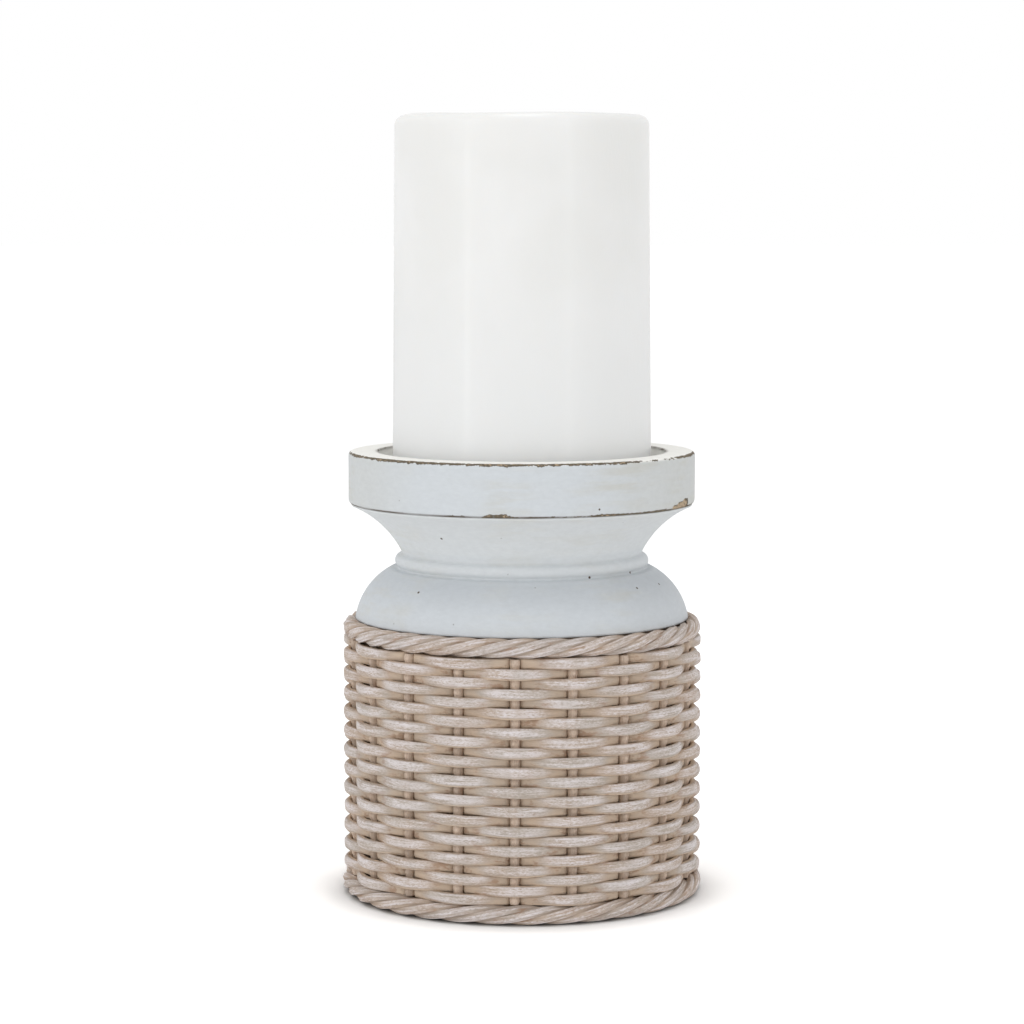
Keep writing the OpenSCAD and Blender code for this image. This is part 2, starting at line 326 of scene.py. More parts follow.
paint = {
    "colours": {
        "Paint": srgb(210, 215, 219),
        # a darker, bluer paint colour, used only as painted shade
        "Shadow Paint": srgb(196, 201, 206),
        "Thin And Shade Paint": srgb(203, 204, 200),
        "Cream Paint": srgb(247, 246, 241),
        "Wood": srgb(184, 163, 136),
        "Dark Wood": srgb(102, 93, 79),
        "Dirt And Shade Colour": srgb(84, 69, 56),
    },
    "bump": 0.00010,
    "pinhole": 0.00048,
    "bandHole": 0.00036,
}
reed = {
    "colours": {
        "Warm Reed": srgb(187, 167, 149),
        "Wash": srgb(226, 220, 221),
        "Blotch": srgb(158, 120, 94),
    },
    "reed": srgb(184, 172, 160),
    "ropeReed": srgb(182, 169, 158),
    # hollow colours: painted light for the weave and stakes, painted shade for the rope
    "stakeReed": srgb(220, 199, 180),
    "hollowShading": srgb(219, 199, 177),
    "ropeHollowShading": srgb(173, 157, 144),
    "bump": 0.00022,
}


def makePaintGroup():
    # chalk paint: brushed mottling, fine pores, wood showing where the wear is above a noise, and
    # painted shade brought in through three of its inputs
    group, given = newGroup(
        "rubbedPaint",
        {
            "Vector": (0.0, 0.0, 0.0),
            **dict.fromkeys(("Wear", "Dirt And Shade", "Cream", "Cool", "Thin_And_Shade"), 0.0),
            **paint["colours"],
        },
        {"Color": "Color", "Roughness": "Float", "Height": "Float"},
    )
    vector = given["Vector"]
    strokes = noise(group, stretched(group, vector, (1.0, 1.0, 7.0)), 42.0, 5.0, 0.6)
    cloud = noise(group, vector, 38.0, 3.0, 0.5)
    fleck = noise(group, stretched(group, vector, (1.0, 1.0, 2.2)), 420.0, 3.0, 0.65)
    grit = noise(group, vector, 1300.0, 2.0, 0.6)
    thin_and_shade = times(group, spread(group, strokes, 0.42, 0.68), spread(group, cloud, 0.4, 0.62))
    # painted shade: this input mixes the paint toward a darker, bluer colour, broken up by a cloud noise
    cool = times(group, given["Cool"], spread(group, cloud, 0.25, 0.7, 1.0, 0.7))
    colour = blendColour(group, cool, given["Paint"], given["Shadow Paint"])
    # the thin paint input also carries the plate's painted side shade
    thin_and_shade = timesPlus(group, thin_and_shade, 0.7, given["Thin_And_Shade"], clamp=True)
    colour = blendColour(group, thin_and_shade, colour, given["Thin And Shade Paint"])
    colour = blendColour(group, given["Cream"], colour, given["Cream Paint"])
    shade = spread(group, fleck, 0.3, 0.72, 0.965, 1.03, "LINEAR")
    colour = shaded(group, colour, shade)
    pores = addNode(
        group, "ShaderNodeTexVoronoi", {"Vector": vector, "Scale": 520.0, "Randomness": 1.0}
    )
    rare = addNode(group, "ShaderNodeSeparateColor", {"Color": pores.outputs["Color"]})
    pore = times(group, spread(group, pores.outputs["Distance"], 0.08, 0.17, 1.0, 0.0),
        spread(group, rare.outputs["Red"], 0.986, 0.990),
    )
    # dirt and painted shade: real grime and pinholes, with the painted shadow line and painted side
    # shade from the attribute, mixed toward the dark colour
    dirtAndShade = maths(group, "MAXIMUM", given["Dirt And Shade"], times(group, pore, 0.4))
    colour = blendColour(group, dirtAndShade, colour, given["Dirt And Shade Colour"])
    edgeNoise = timesPlus(group, fleck, 0.9, timesPlus(group, grit, 0.9, -0.45))
    worn = spread(group, maths(group, "SUBTRACT", given["Wear"], edgeNoise), 0.02, 0.12)
    grain = noise(group, vector, 1300.0, 4.0, 0.65)
    shallow = timesPlus(group, given["Wear"], -0.35, 0.37)
    wood = blendColour(
        group, spread(group, maths(group, "ADD", grain, shallow), 0.46, 0.56),
        given["Wood"], given["Dark Wood"],
    )
    colour = blendColour(group, worn, colour, wood)
    rough = spread(group, worn, 0.0, 1.0, 0.62, 0.8)
    height = timesPlus(group, strokes, 0.5, times(group, fleck, 0.35))
    height = timesPlus(group, grit, 0.15, height)
    height = maths(group, "SUBTRACT", height, times(group, dirtAndShade, 0.5))
    height = maths(group, "SUBTRACT", height, times(group, worn, 0.8))
    return closeGroup(group, {"Color": colour, "Roughness": rough, "Height": height})


def makeReedGroup():
    # reed: fibres along the strand, a pale wash caught on the crests, and a painted colour in the
    # hollows that lifts their shade on the weave and deepens it on the rope
    group, given = newGroup(
        "washedReed",
        {
            "Strand": (0.0, 0.0, 0.0),
            "Crest": 0.0,
            "Tone": 0.5,
            "Reed": reed["reed"],
            "Hollow Shading": reed["hollowShading"],
            "Wash Amount": 1.0,
            **reed["colours"],
        },
        {"Color": "Color", "Height": "Float"},
    )
    strand = given["Strand"]
    fibres = noise(group, stretched(group, strand, (0.045, 1.0, 1.0)), 2600.0, 3.0, 0.6)
    bands = noise(group, stretched(group, strand, (0.10, 1.0, 1.0)), 700.0, 3.0, 0.55)
    patches = noise(group, strand, 150.0, 3.0, 0.55)
    specks = noise(group, stretched(group, strand, (0.3, 1.0, 1.0)), 3400.0, 3.0, 0.7)
    warm = spread(group, timesPlus(group, patches, 0.6, times(group, given["Tone"], 0.4)), 0.36, 0.64)
    colour = blendColour(group, warm, given["Reed"], given["Warm Reed"])
    shade = spread(group, fibres, 0.3, 0.7, 0.86, 1.1, "LINEAR")
    shade = times(group, shade, spread(group, specks, 0.3, 0.7, 0.9, 1.08, "LINEAR"))
    colour = shaded(group, colour, shade)
    crest = given["Crest"]
    # painted light and shade: the low, hollow parts are mixed toward the hollow colour, lighter than the
    # reed on the weave and darker on the rope
    hollowShading = times(group, spread(group, crest, 0.62, 0.1), spread(group, bands, 0.25, 0.7, 0.55, 1.0))
    colour = blendColour(group, hollowShading, colour, given["Hollow Shading"])
    spots = noise(group, stretched(group, strand, (0.5, 1.0, 1.0)), 460.0, 3.0, 0.62)
    blotch = times(group, spread(group, spots, 0.54, 0.68), spread(group, crest, 1.0, 0.3, 0.15, 0.6))
    colour = blendColour(group, blotch, colour, given["Blotch"])
    caught = timesPlus(group, specks, 0.4, times(group, bands, 0.3))
    caught = timesPlus(group, fibres, 0.3, caught)
    wash = times(group, spread(group, crest, 0.35, 1.0), spread(group, caught, 0.41, 0.57))
    wash = times(group, wash, spread(group, patches, 0.36, 0.6, 0.7, 1.1))
    wash = times(group, wash, given["Wash Amount"], clamp=True)
    colour = blendColour(group, wash, colour, given["Wash"])
    height = timesPlus(group, fibres, 0.6, times(group, bands, 0.5))
    height = timesPlus(group, specks, 0.22, height)
    return closeGroup(group, {"Color": colour, "Height": height})


def makeGrainGroup():
    # plain wood or cloth: a stretched grain between two colours, with a fine height
    group, given = newGroup(
        "grain",
        {
            "Vector": (0.0, 0.0, 0.0),
            "Stretch": (1.0, 1.0, 1.0),
            "Scale": 200.0,
            "Light": (0.5, 0.4, 0.3, 1.0),
            "Dark": (0.3, 0.2, 0.15, 1.0),
        },
        {"Color": "Color", "Height": "Float"},
    )
    vector = addNode(group, "ShaderNodeVectorMath", {
        0: given["Vector"], 1: given["Stretch"]}, operation="MULTIPLY").outputs[0]
    grain = noise(group, vector, given["Scale"], 5.0, 0.6)
    fine = noise(group, vector, times(group, given["Scale"], 6.0), 3.0, 0.6)
    share = timesPlus(group, fine, 0.35, times(group, grain, 0.65))
    colour = blendColour(group, spread(group, share, 0.35, 0.65), given["Light"], given["Dark"])
    return closeGroup(group, {"Color": colour, "Height": share})


paintGroup = makePaintGroup()
reedGroup = makeReedGroup()
grainGroup = makeGrainGroup()
print("shader groups made")


# Materials
def newMaterial(name, roughness=0.6, **values):
    # a material with its Principled BSDF, whose constant values are set on the sockets themselves
    material = bpy.data.materials.new(name)
    material.use_nodes = True
    tree = material.node_tree
    shader = tree.nodes["Principled BSDF"]
    shader.inputs["Roughness"].default_value = roughness
    for key, value in values.items():
        shader.inputs[key].default_value = value
    return material, tree, shader


def colourAndBump(tree, shader, colour, height, distance):
    tree.links.new(colour, shader.inputs["Base Color"])
    bump = addNode(tree, "ShaderNodeBump", {"Height": height, "Distance": distance, "Strength": 1.0})
    tree.links.new(bump.outputs["Normal"], shader.inputs["Normal"])


def attribute(tree, name, output="Fac"):
    return addNode(tree, "ShaderNodeAttribute", attribute_name=name).outputs[output]


def objectVector(tree):
    return addNode(tree, "ShaderNodeTexCoord").outputs["Object"]


def useGroup(tree, group, inputs):
    return addNode(tree, "ShaderNodeGroup", inputs, node_tree=group).outputs


def makePaintMaterial(name, pinholes, wide):
    # the rubbed paint, with a dark round pinhole of that radius at each of the places
    material, tree, shader = newMaterial(name, 0.62, **{"IOR": 1.45, "Specular IOR Level": 0.35})
    vector = objectVector(tree)
    dirtAndShade = attribute(tree, "dirtAndShade")
    for place in pinholes:
        away = addNode(
            tree, "ShaderNodeVectorMath", {0: vector, 1: tuple(place)}, operation="DISTANCE"
        ).outputs["Value"]
        hole = spread(tree, away, wide, 0.55 * wide)
        dirtAndShade = maths(tree, "MAXIMUM", dirtAndShade, hole)
    finish = useGroup(tree, paintGroup, {
        "Vector": vector,
        "Dirt And Shade": dirtAndShade,
        **{key: attribute(tree, key.lower()) for key in ("Wear", "Cream", "Cool", "Thin_And_Shade")},
    })
    tree.links.new(finish["Roughness"], shader.inputs["Roughness"])
    colourAndBump(tree, shader, finish["Color"], finish["Height"], paint["bump"])
    return material


def makeReedMaterial(name, base, hollowShading, washAmount):
    material, tree, shader = newMaterial(name, 0.66, **{"IOR": 1.45, "Specular IOR Level": 0.3})
    finish = useGroup(tree, reedGroup, {
        "Strand": attribute(tree, "strand", "Vector"),
        "Crest": attribute(tree, "crest"),
        "Tone": attribute(tree, "tone"),
        "Reed": base,
        "Hollow Shading": hollowShading,
        "Wash Amount": washAmount,
    })
    colourAndBump(tree, shader, finish["Color"], finish["Height"], reed["bump"])
    return material


def makeGrainMaterial(name, light, dark, stretch, scale, bump, roughness, charred=None, **values):
    # the grain, darkened to the charred colour by the char attribute where one is given
    material, tree, shader = newMaterial(name, roughness, **values)
    finish = useGroup(tree, grainGroup, {
        "Vector": objectVector(tree),
        "Stretch": stretch,
        "Scale": scale,
        "Light": light,
        "Dark": dark,
    })
    colour = finish["Color"]
    if charred:
        colour = blendColour(tree, attribute(tree, "char"), colour, charred)
    colourAndBump(tree, shader, colour, finish["Height"], bump)
    return material


wax = {
    "clear": srgb(241, 241, 240),
    "cloudy": srgb(237, 237, 235),
    # the foot colour is painted shade
    "foot": srgb(235, 236, 236),
    "bump": 0.00004,
}


def makeWaxMaterial():
    # satin wax: faint cloudy patches, a very fine skin, light that sinks in a little, and painted shade
    # darker towards the foot
    material, tree, shader = newMaterial("ivoryWax", 0.36, **{
        "IOR": 1.44,
        "Specular IOR Level": 0.5,
        "Subsurface Weight": 0.35,
        "Subsurface Scale": 0.006,
        "Subsurface Radius": (1.0, 0.93, 0.86),
        "Coat Weight": 0.35,
        "Coat Roughness": 0.16,
    })
    vector = objectVector(tree)
    cloud = noise(tree, vector, 26.0, 3.0, 0.5)
    skin = noise(tree, stretched(tree, vector, (1.0, 1.0, 0.35)), 900.0, 3.0, 0.6)
    colour = blendColour(tree, spread(tree, cloud, 0.35, 0.65), wax["clear"], wax["cloudy"])
    height = addNode(tree, "ShaderNodeSeparateXYZ", {0: vector}).outputs["Z"]
    # painted shade: the wax colour darkens towards the foot
    colour = blendColour(tree, spread(tree, height, 0.2, 0.124), colour, wax["foot"])
    tree.links.new(spread(tree, cloud, 0.3, 0.7, 0.33, 0.42, "LINEAR"), shader.inputs["Roughness"])
    colourAndBump(tree, shader, colour, skin, wax["bump"])
    return material


weaveReed = makeReedMaterial("weaveReed", reed["reed"], reed["hollowShading"], 0.85)
ropeReed = makeReedMaterial("ropeReed", reed["ropeReed"], reed["ropeHollowShading"], 0.9)
stakeReed = makeReedMaterial("stakeReed", reed["stakeReed"], reed["hollowShading"], 0.2)
ivoryWax = makeWaxMaterial()
drumWood = makeGrainMaterial(
    "drumWood", srgb(230, 208, 186), srgb(214, 190, 166), (1.0, 1.0, 0.08), 500.0, 0.0001, 0.75)
baseBoard = makeGrainMaterial(
    "baseBoard", srgb(178, 146, 112), srgb(150, 118, 86), (1.0, 1.0, 1.0), 900.0, 0.00005, 0.8)
woolFelt = makeGrainMaterial(
    "woolFelt", srgb(120, 112, 104), srgb(88, 82, 76), (1.0, 1.0, 1.0), 1500.0, 0.0003, 0.95)
beechDowel = makeGrainMaterial(
    "beechDowel", srgb(204, 170, 128), srgb(176, 138, 98), (1.0, 1.0, 0.1), 700.0, 0.0001, 0.6)
zincSteel = makeGrainMaterial(
    "zincSteel", srgb(206, 206, 202), srgb(176, 176, 172), (1.0, 1.0, 0.2), 800.0, 0.00003, 0.35,
    Metallic=1.0)
waxedCotton = makeGrainMaterial(
    "waxedCotton", srgb(232, 224, 204), srgb(206, 194, 168), (1.0, 1.0, 0.4), 2600.0, 0.0001, 0.7,
    charred=srgb(58, 50, 44))
print("materials made")


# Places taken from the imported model
def span(node):
    low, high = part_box(node)
    return np.array(low), np.array(high)


plateLow, plateHigh = span("candle_plate")
neckLow = span("turned_neck")[0]
candleLow, candleHigh = span("pillar_candle")
tabHigh = span("wick_tab")[1]
frontAngle = -np.pi / 2


def smooth(value, low, high):
    t = np.clip((value - low) / (high - low), 0.0, 1.0)
    return t * t * (3.0 - 2.0 * t)


def bump(distance, width):
    return np.exp(-((distance / width) ** 2))


def between(value, start, full, fade, end):
    # rises from start to full, stays 1, and falls from fade to end
    return smooth(value, start, full) * smooth(-value, -end, -fade)


def edgeMark(r, z, edge, width):
    # 1 on the circle with that radius and height, and less around it
    return bump(np.hypot(r - edge[0], z - edge[1]), width)


def pullIn(grid, angle, depth):
    # each point moves towards the axis by its depth
    grid[..., 0] -= depth * np.cos(angle)
    grid[..., 1] -= depth * np.sin(angle)


def turnFrom(angle, start):
    return (angle - start + np.pi) % (2 * np.pi) - np.pi


def fromFront(angle):
    # turn from the front, in degrees, positive to the viewer's right
    return np.degrees(turnFrom(angle, frontAngle))[None]


def treeOf(piece):
    return BVHTree.FromObject(piece, bpy.context.evaluated_depsgraph_get())


# The candle plate: a band with worn edges round the candle's recess
plate = {
    "rimWidth": 8.7 * mm,
    "recess": 7.0 * mm,
    "edge": 1.0 * mm,
    "lip": 0.4 * mm,
    "tenonHole": (15.1 * mm, 4.5 * mm),
    "screwHole": 2.1 * mm,
    "screwHead": (4.1 * mm, 2.1 * mm),
    "segments": 448,
    "step": 0.7 * mm,
    "wornDepth": 0.22 * mm,
    "outOfTrue": 0.03 * mm,
    "topMark": (0.35 * mm, 0.25 * mm, 0.72 * mm),
    "lipMark": (0.0, 0.15 * mm, 0.62 * mm),
    "footMark": 0.8 * mm,
    "frontWorn": (-88, -70, 34, 42),
    "rightWorn": (55, 60, 84, 92),
    "footWorn": (0, 24, 80, 92),
    "sideShadeRight": (14, 60, 90, 130),
    "sideShadeLeft": (30, 60, 90, 130),
    "grimy": (48, 60, 72, 84),
    "chip": {
        "left": 5.8 * mm, "right": 6.8 * mm, "peak": 4.2 * mm,
        "low": 1.6 * mm, "high": 2.7 * mm, "dug": 0.5 * mm,
    },
    "scuff": {"along": 5.8 * mm, "low": 0.4 * mm, "high": 1.75 * mm, "dug": 0.1 * mm},
}


def plateProfile():
    # bottom, band with arcs of radius edge at its corners, rim, chamfered lip, recess and screw hole
    z0, z1, radius = plateLow[2], plateHigh[2], plateHigh[0]
    floor = z1 - plate["recess"]
    inner = radius - plate["rimWidth"]
    edge, lip = plate["edge"], plate["lip"]
    holeRadius, holeDepth = plate["tenonHole"]
    headRadius, headDepth = plate["screwHead"]
    outside = np.concatenate([
        [[holeRadius, z0]],
        arcPoints((radius - edge, z0 + edge), edge, -90, 0, 7),
        arcPoints((radius - edge, z1 - edge), edge, 0, 90, 9),
        arcPoints((inner + lip, z1 - lip), lip, 90, 180, 6),
        arcPoints((inner - 0.6 * mm, floor + 0.6 * mm), 0.6 * mm, 0, -90, 4),
        [[headRadius, floor], [plate["screwHole"], floor - headDepth]],
        [[plate["screwHole"], z0 + holeDepth], [holeRadius, z0 + holeDepth]],
    ])
    return fillProfile(outside, plate["step"], closed=True)


def makePlate():
    # the profile turned round the axis, with its edges rubbed back where the wear is, a painted shadow
    # line along its foot, and painted shade on the band's sides
    z0, z1, radius = plateLow[2], plateHigh[2], plateHigh[0]
    profile = plateProfile()
    grid, angle, r, z = latheGrid(profile, plate["segments"])
    tree = BVHTree.FromPolygons(grid.reshape(-1, 3).tolist(), gridQuads(gridIndex(grid)))
    turn = fromFront(angle)
    topEdge, lipEdge = (
        edgeMark(r, z, (corner - inward, z1 - down), width)
        for corner, (inward, down, width) in (
            (radius, plate["topMark"]), (radius - plate["rimWidth"], plate["lipMark"])))
    footEdge = edgeMark(r, z, (radius, z0), plate["footMark"])
    # painted shadow: a dark line along the band's foot edge, where it sits on the neck
    footShadowLine = smooth(-z, -z0 - 0.62 * mm, -z0 - 0.36 * mm) * (r > radius - 3 * mm)
    drift = ringNoise(angle, 0.0, (3, 26), 0.0, 4)
    fine = ringNoise(angle, 0.0, (24, 90), 0.0, 5)
    front = between(turn, *plate["frontWorn"])
    right = between(turn, *plate["rightWorn"])
    back = 0.8 * smooth(np.abs(turn), 92, 105) * smooth(drift, -0.6, 0.6)
    topWear = 0.50 + 0.33 * np.maximum(np.maximum(front, 0.9 * right), back)
    topWear = topWear + 0.07 * drift + 0.06 * fine
    footDrift = ringNoise(angle, 0.0, (3, 30), 0.0, 6)
    footWear = 0.50 + 0.12 * footDrift + 0.45 * between(turn, *plate["footWorn"])
    lipWear = 0.42 + 0.16 * ringNoise(angle, 0.0, (3, 40), 0.0, 7)
    wear = np.maximum(np.maximum(topEdge * topWear, footEdge * footWear), lipEdge * lipWear)
    depth = plate["wornDepth"] * (topEdge * topWear + footEdge * footWear)
    outer = r > radius - 2.5 * mm
    chip, scuff = plate["chip"], plate["scuff"]
    away = radius * turnFromMark(tree, "rimChip", angle)
    rise = smooth(away, -chip["left"], chip["peak"])
    high = chip["low"] + (chip["high"] - chip["low"]) * rise + 0.12 * mm * fine
    mark = smooth(away, -chip["left"], 0.8 * mm - chip["left"])
    mark = mark * smooth(-away, -chip["right"], 1.8 * mm - chip["right"])
    mark = mark * smooth(-z, -z0 - high, 0.4 * mm - z0 - high) * outer
    wear = np.maximum(wear, 1.3 * mark)
    depth = depth + chip["dug"] * mark
    away = radius * turnFromMark(tree, "rimScuff", angle)
    slope = np.clip(1 - np.abs(away) / scuff["along"], 0, 1)
    high = scuff["low"] + (scuff["high"] - scuff["low"]) * slope + 0.1 * mm * fine
    mark = smooth(slope, 0, 0.12) * smooth(-z, -z0 - high, 0.4 * mm - z0 - high) * outer
    wear = np.maximum(wear, (0.72 + 0.08 * np.clip(fine, -1, 1)) * mark)
    depth = depth + scuff["dug"] * mark
    depth = depth + plate["outOfTrue"] * (1 + ringNoise(angle, z / mm * 0.4, (2, 12), 1.0, 8))
    depth = depth * smooth(r, 0.7 * radius, 0.8 * radius)
    pullIn(grid, angle, depth)
    wallRadius = radius - plate["rimWidth"]
    inside = (r < wallRadius + 0.3 * mm) & (z > z1 - plate["recess"] - 0.1 * mm)
    cream = np.maximum(smooth(z, z1 - 0.8 * mm, z1 - 0.1 * mm), inside) * np.ones_like(wear)
    # painted shade: the band's sides, more on the right, are mixed toward the thin paint colour
    thin_and_shade = np.maximum(
        0.6 * between(turn, *plate["sideShadeRight"]), 0.45 * between(-turn, *plate["sideShadeLeft"]))
    thin_and_shade = thin_and_shade * np.ones_like(wear)
    mottled = ringNoise(angle, z / mm * 1.6, (30, 90), 1.2, 9)
    grimy = between(turn, *plate["grimy"]) * smooth(mottled, 0.2, 1.1)
    dirtAndShade = (0.02 + 0.45 * grimy * (r > wallRadius - 0.8 * mm)) * inside * smooth(fine, -1.2, 1.0)
    dirtAndShade = np.maximum(dirtAndShade, footShadowLine * (0.78 + 0.2 * np.clip(footDrift, -1, 1)))
    dirtAndShade = np.maximum(dirtAndShade, lipEdge * (0.64 + 0.15 * fine) * smooth(np.abs(turn), 50, 75))
    piece = gridMesh(
        "turnedCandlePlate", grid, closedAlong=True,
        attributes={"wear": wear, "cream": cream, "dirtAndShade": dirtAndShade * np.ones_like(wear), "thin_and_shade": thin_and_shade},
    )
    rimPaint = makePaintMaterial("rimPaint", holesIn(treeOf(piece), "bandHole"), paint["bandHole"])
    return finish(piece, "holder", "painted_wood", ["candle_plate"], rimPaint)


def turnFromMark(tree, key, angle):
    # turn from the place of that image point on the tree's surface, in radians
    marks[key] = surfacePoint(tree, *imagePoints[key])
    return turnFrom(angle, np.arctan2(marks[key][1], marks[key][0]))[None]


def holesIn(tree, prefix):
    # the places on the tree's surface of the image points whose names start with the prefix
    keys = [key for key in imagePoints if key.startswith(prefix)]
    marks.update({key: surfacePoint(tree, *imagePoints[key]) for key in keys})
    return [marks[key] for key in keys]


marks = {}
turnedPlate = makePlate()
print("candle plate made")


# The neck: a cove, a bead between two cut lines, and a rounded shoulder, on a tenon and a dowel
neck = {
    "coveStep": 0.8 * mm,
    "coveLip": 0.5 * mm,
    "coveHeight": 14.75 * mm,
    "coveCurve": 30.0 * mm,
    "coveInset": 2.1 * mm,
    "beadRadius": 37.6 * mm,
    "beadHeight": 4.0 * mm,
    "quirk": 0.3 * mm,
    "ledge": 1.4 * mm,
    "shoulderFoot": 49.4 * mm,
    "shoulderHeight": 14.6 * mm,
    "shoulderCurve": 20.0 * mm,
    "tenon": (15.0 * mm, 4.0 * mm),
    "screwHole": (2.1 * mm, 101.5 * mm),
    "dowelHole": (6.1 * mm, 14.5 * mm),
    "lowerCut": (36.2 * mm, 0.55 * mm),
    "upperCut": (35.6 * mm, 0.5 * mm),
    "shoulderEdge": (39.0 * mm, 0.7 * mm),
    "rightSideShadeTurns": (25, 50, 90, 120),
    "outOfTrue": 0.04 * mm,
    "segments": 384,
    "step": 0.8 * mm,
}


def neckProfile():
    # dowel hole, underside, shoulder arc, ledge, bead arc, cove arc, lip, tenon and screw hole
    z0 = neckLow[2]
    shoulderTop = z0 + neck["shoulderHeight"]
    half = neck["beadHeight"] / 2
    beadZ = shoulderTop + neck["quirk"] + half
    coveZ = beadZ + half + neck["quirk"]
    topZ = coveZ + neck["coveHeight"]
    beadRadius = neck["beadRadius"]
    coveRadius = plateHigh[0] - neck["coveStep"]
    shoulder = arcBetween(
        (neck["shoulderFoot"], z0), (beadRadius + neck["ledge"], shoulderTop),
        neck["shoulderCurve"], 34)
    cove = arcBetween(
        (coveRadius, topZ - neck["coveLip"]),
        (beadRadius - neck["coveInset"], coveZ), neck["coveCurve"], 32)[::-1]
    dowelRadius, dowelDepth = neck["dowelHole"]
    tenonRadius, tenonHeight = neck["tenon"]
    holeRadius, holeZ = neck["screwHole"]
    pole = 0.05 * mm
    outline = np.concatenate([
        [[pole, z0 + dowelDepth], [dowelRadius, z0 + dowelDepth], [dowelRadius, z0]],
        shoulder,
        [[beadRadius - 0.5 * mm, shoulderTop + 0.1 * mm]],
        arcPoints((beadRadius - half, beadZ), half, -50, 78, 15),
        cove,
        [[coveRadius, topZ], [tenonRadius, topZ], [tenonRadius, topZ + tenonHeight]],
        [[holeRadius, topZ + tenonHeight], [holeRadius, holeZ], [pole, holeZ]],
    ])
    return fillProfile(outline, neck["step"]), shoulderTop, coveZ


def makeNeck():
    # the profile turned round the axis, a hair out of true, with grime in its two cut lines, and painted
    # shade on the shoulder and bead and on their right side
    profile, shoulderTop, coveZ = neckProfile()
    grid, angle, r, z = latheGrid(profile, neck["segments"])
    outside = smooth(r, 0.6 * neck["beadRadius"], 0.8 * neck["beadRadius"])
    depth = neck["outOfTrue"] * (1 + ringNoise(angle, z / mm * 0.35, (2, 14), 1.0, 12)) * outside
    pullIn(grid, angle, depth)
    lower, upper, corner = neck["lowerCut"], neck["upperCut"], neck["shoulderEdge"]
    cutLines = np.maximum(
        edgeMark(r, z, (lower[0], shoulderTop + 0.15 * mm), lower[1]),
        edgeMark(r, z, (upper[0], coveZ - 0.1 * mm), upper[1]))
    patchy = smooth(ringNoise(angle, z / mm * 0.2, (3, 30), 0.6, 13), -2.4, 1.6)
    dirtAndShade = 0.035 * cutLines * patchy
    shoulderEdge = edgeMark(r, z, (corner[0], shoulderTop), corner[1])
    dirtAndShade = np.maximum(dirtAndShade, 0.03 * shoulderEdge * patchy)
    turn = fromFront(angle)
    # painted shade: the shoulder and bead are darkened on the right side, below the cove, through the
    # dirt attribute
    rightSideShade = 0.07 * between(turn, *neck["rightSideShadeTurns"]) * smooth(-z, -coveZ, -shoulderTop)
    dirtAndShade = np.maximum(dirtAndShade, rightSideShade)
    wear = 0.25 * shoulderEdge * patchy
    cream = 0.16 * smooth(z, shoulderTop, shoulderTop + 0.5 * mm)
    cream = np.maximum(cream, 0.24 * smooth(z, coveZ, coveZ + 3 * mm)) * np.ones_like(dirtAndShade)
    # painted shade: the shoulder and bead under the band's overhang are mixed toward the darker, bluer
    # paint, most near the shoulder's top
    cool = 0.3 + 0.5 * smooth(z, neckLow[2] + 3 * mm, shoulderTop - 2 * mm)
    cool = cool * (1 - 0.7 * smooth(z, shoulderTop - 1.2 * mm, shoulderTop + 0.3 * mm))
    cool = cool * smooth(-z, -coveZ, 2 * mm - coveZ) * np.ones_like(dirtAndShade)
    piece = gridMesh(
        "turnedNeck", grid, attributes={"wear": wear, "cream": cream, "dirtAndShade": dirtAndShade, "cool": cool})
    neckPaint = makePaintMaterial("neckPaint", holesIn(treeOf(piece), "pinhole"), paint["pinhole"])
    return finish(piece, "holder", "painted_wood", ["turned_neck"], neckPaint)


turnedNeck = makeNeck()
print("neck made")


# The candle: a slightly tapered wax pillar with a soft lip and a burnt well
candle = {
    "taper": 1.0 * mm,
    "edge": 3.0 * mm,
    "wall": 8.0 * mm,
    "wellDepth": 7.0 * mm,
    "fillet": 4.0 * mm,
    "wickHole": 1.2 * mm,
    "collar": (1.9 * mm, 5.0 * mm),
    "tabThickness": 1.0 * mm,
    "outOfTrue": 0.05 * mm,
    "sag": 0.22 * mm,
    "sagLimit": 0.5 * mm,
    "sagHeight": 8 * mm,
    "segments": 320,
    "step": 1.3 * mm,
}


def makeCandle():
    # tab pocket, tapered wall, lip, well with a fillet, and the wick's hole, turned round the axis
    z0, z1, foot = candleLow[2], candleHigh[2], candleHigh[0]
    top = foot - candle["taper"]
    well = top - candle["wall"]
    edge, fillet, hole = candle["edge"], candle["fillet"], candle["wickHole"]
    floor = z1 - candle["wellDepth"]
    tab = tabHigh[0] + 0.1 * mm
    collar, collarHeight = candle["collar"]
    tabTop, collarTop = z0 + candle["tabThickness"], z0 + collarHeight
    outline = np.concatenate([
        [[tab, z0]],
        arcPoints((foot - 0.5 * mm, z0 + 0.5 * mm), 0.5 * mm, -90, 0, 4),
        arcPoints((top - edge, z1 - edge), edge, 0, 90, 10),
        arcPoints((well + 0.8 * mm, z1 - 0.8 * mm), 0.8 * mm, 90, 180, 6),
        arcPoints((well - fillet, floor + fillet), fillet, 0, -90, 9),
        [[hole, floor], [hole, collarTop], [collar, collarTop], [collar, tabTop], [tab, tabTop]],
    ])
    profile = fillProfile(outline, candle["step"], closed=True)
    grid, angle, r, z = latheGrid(profile, candle["segments"])
    wall = smooth(r, 0.9 * well, well)
    lip = smooth(z, z1 - candle["sagHeight"], z1) * wall
    depth = candle["outOfTrue"] * (1 + ringNoise(angle, z / mm * 0.05, (1, 6), 1.0, 21)) * wall
    pullIn(grid, angle, depth)
    sag = (1 + ringNoise(angle, 0.0, (1, 5), 0.0, 22)) * candle["sag"] * lip
    grid[..., 2] -= np.clip(sag, 0.0, candle["sagLimit"])
    piece = gridMesh("waxPillar", grid, closedAlong=True)
    return finish(piece, "candle", "candle_wax", ["pillar_candle"], ivoryWax)


waxPillar = makeCandle()
print("candle made")


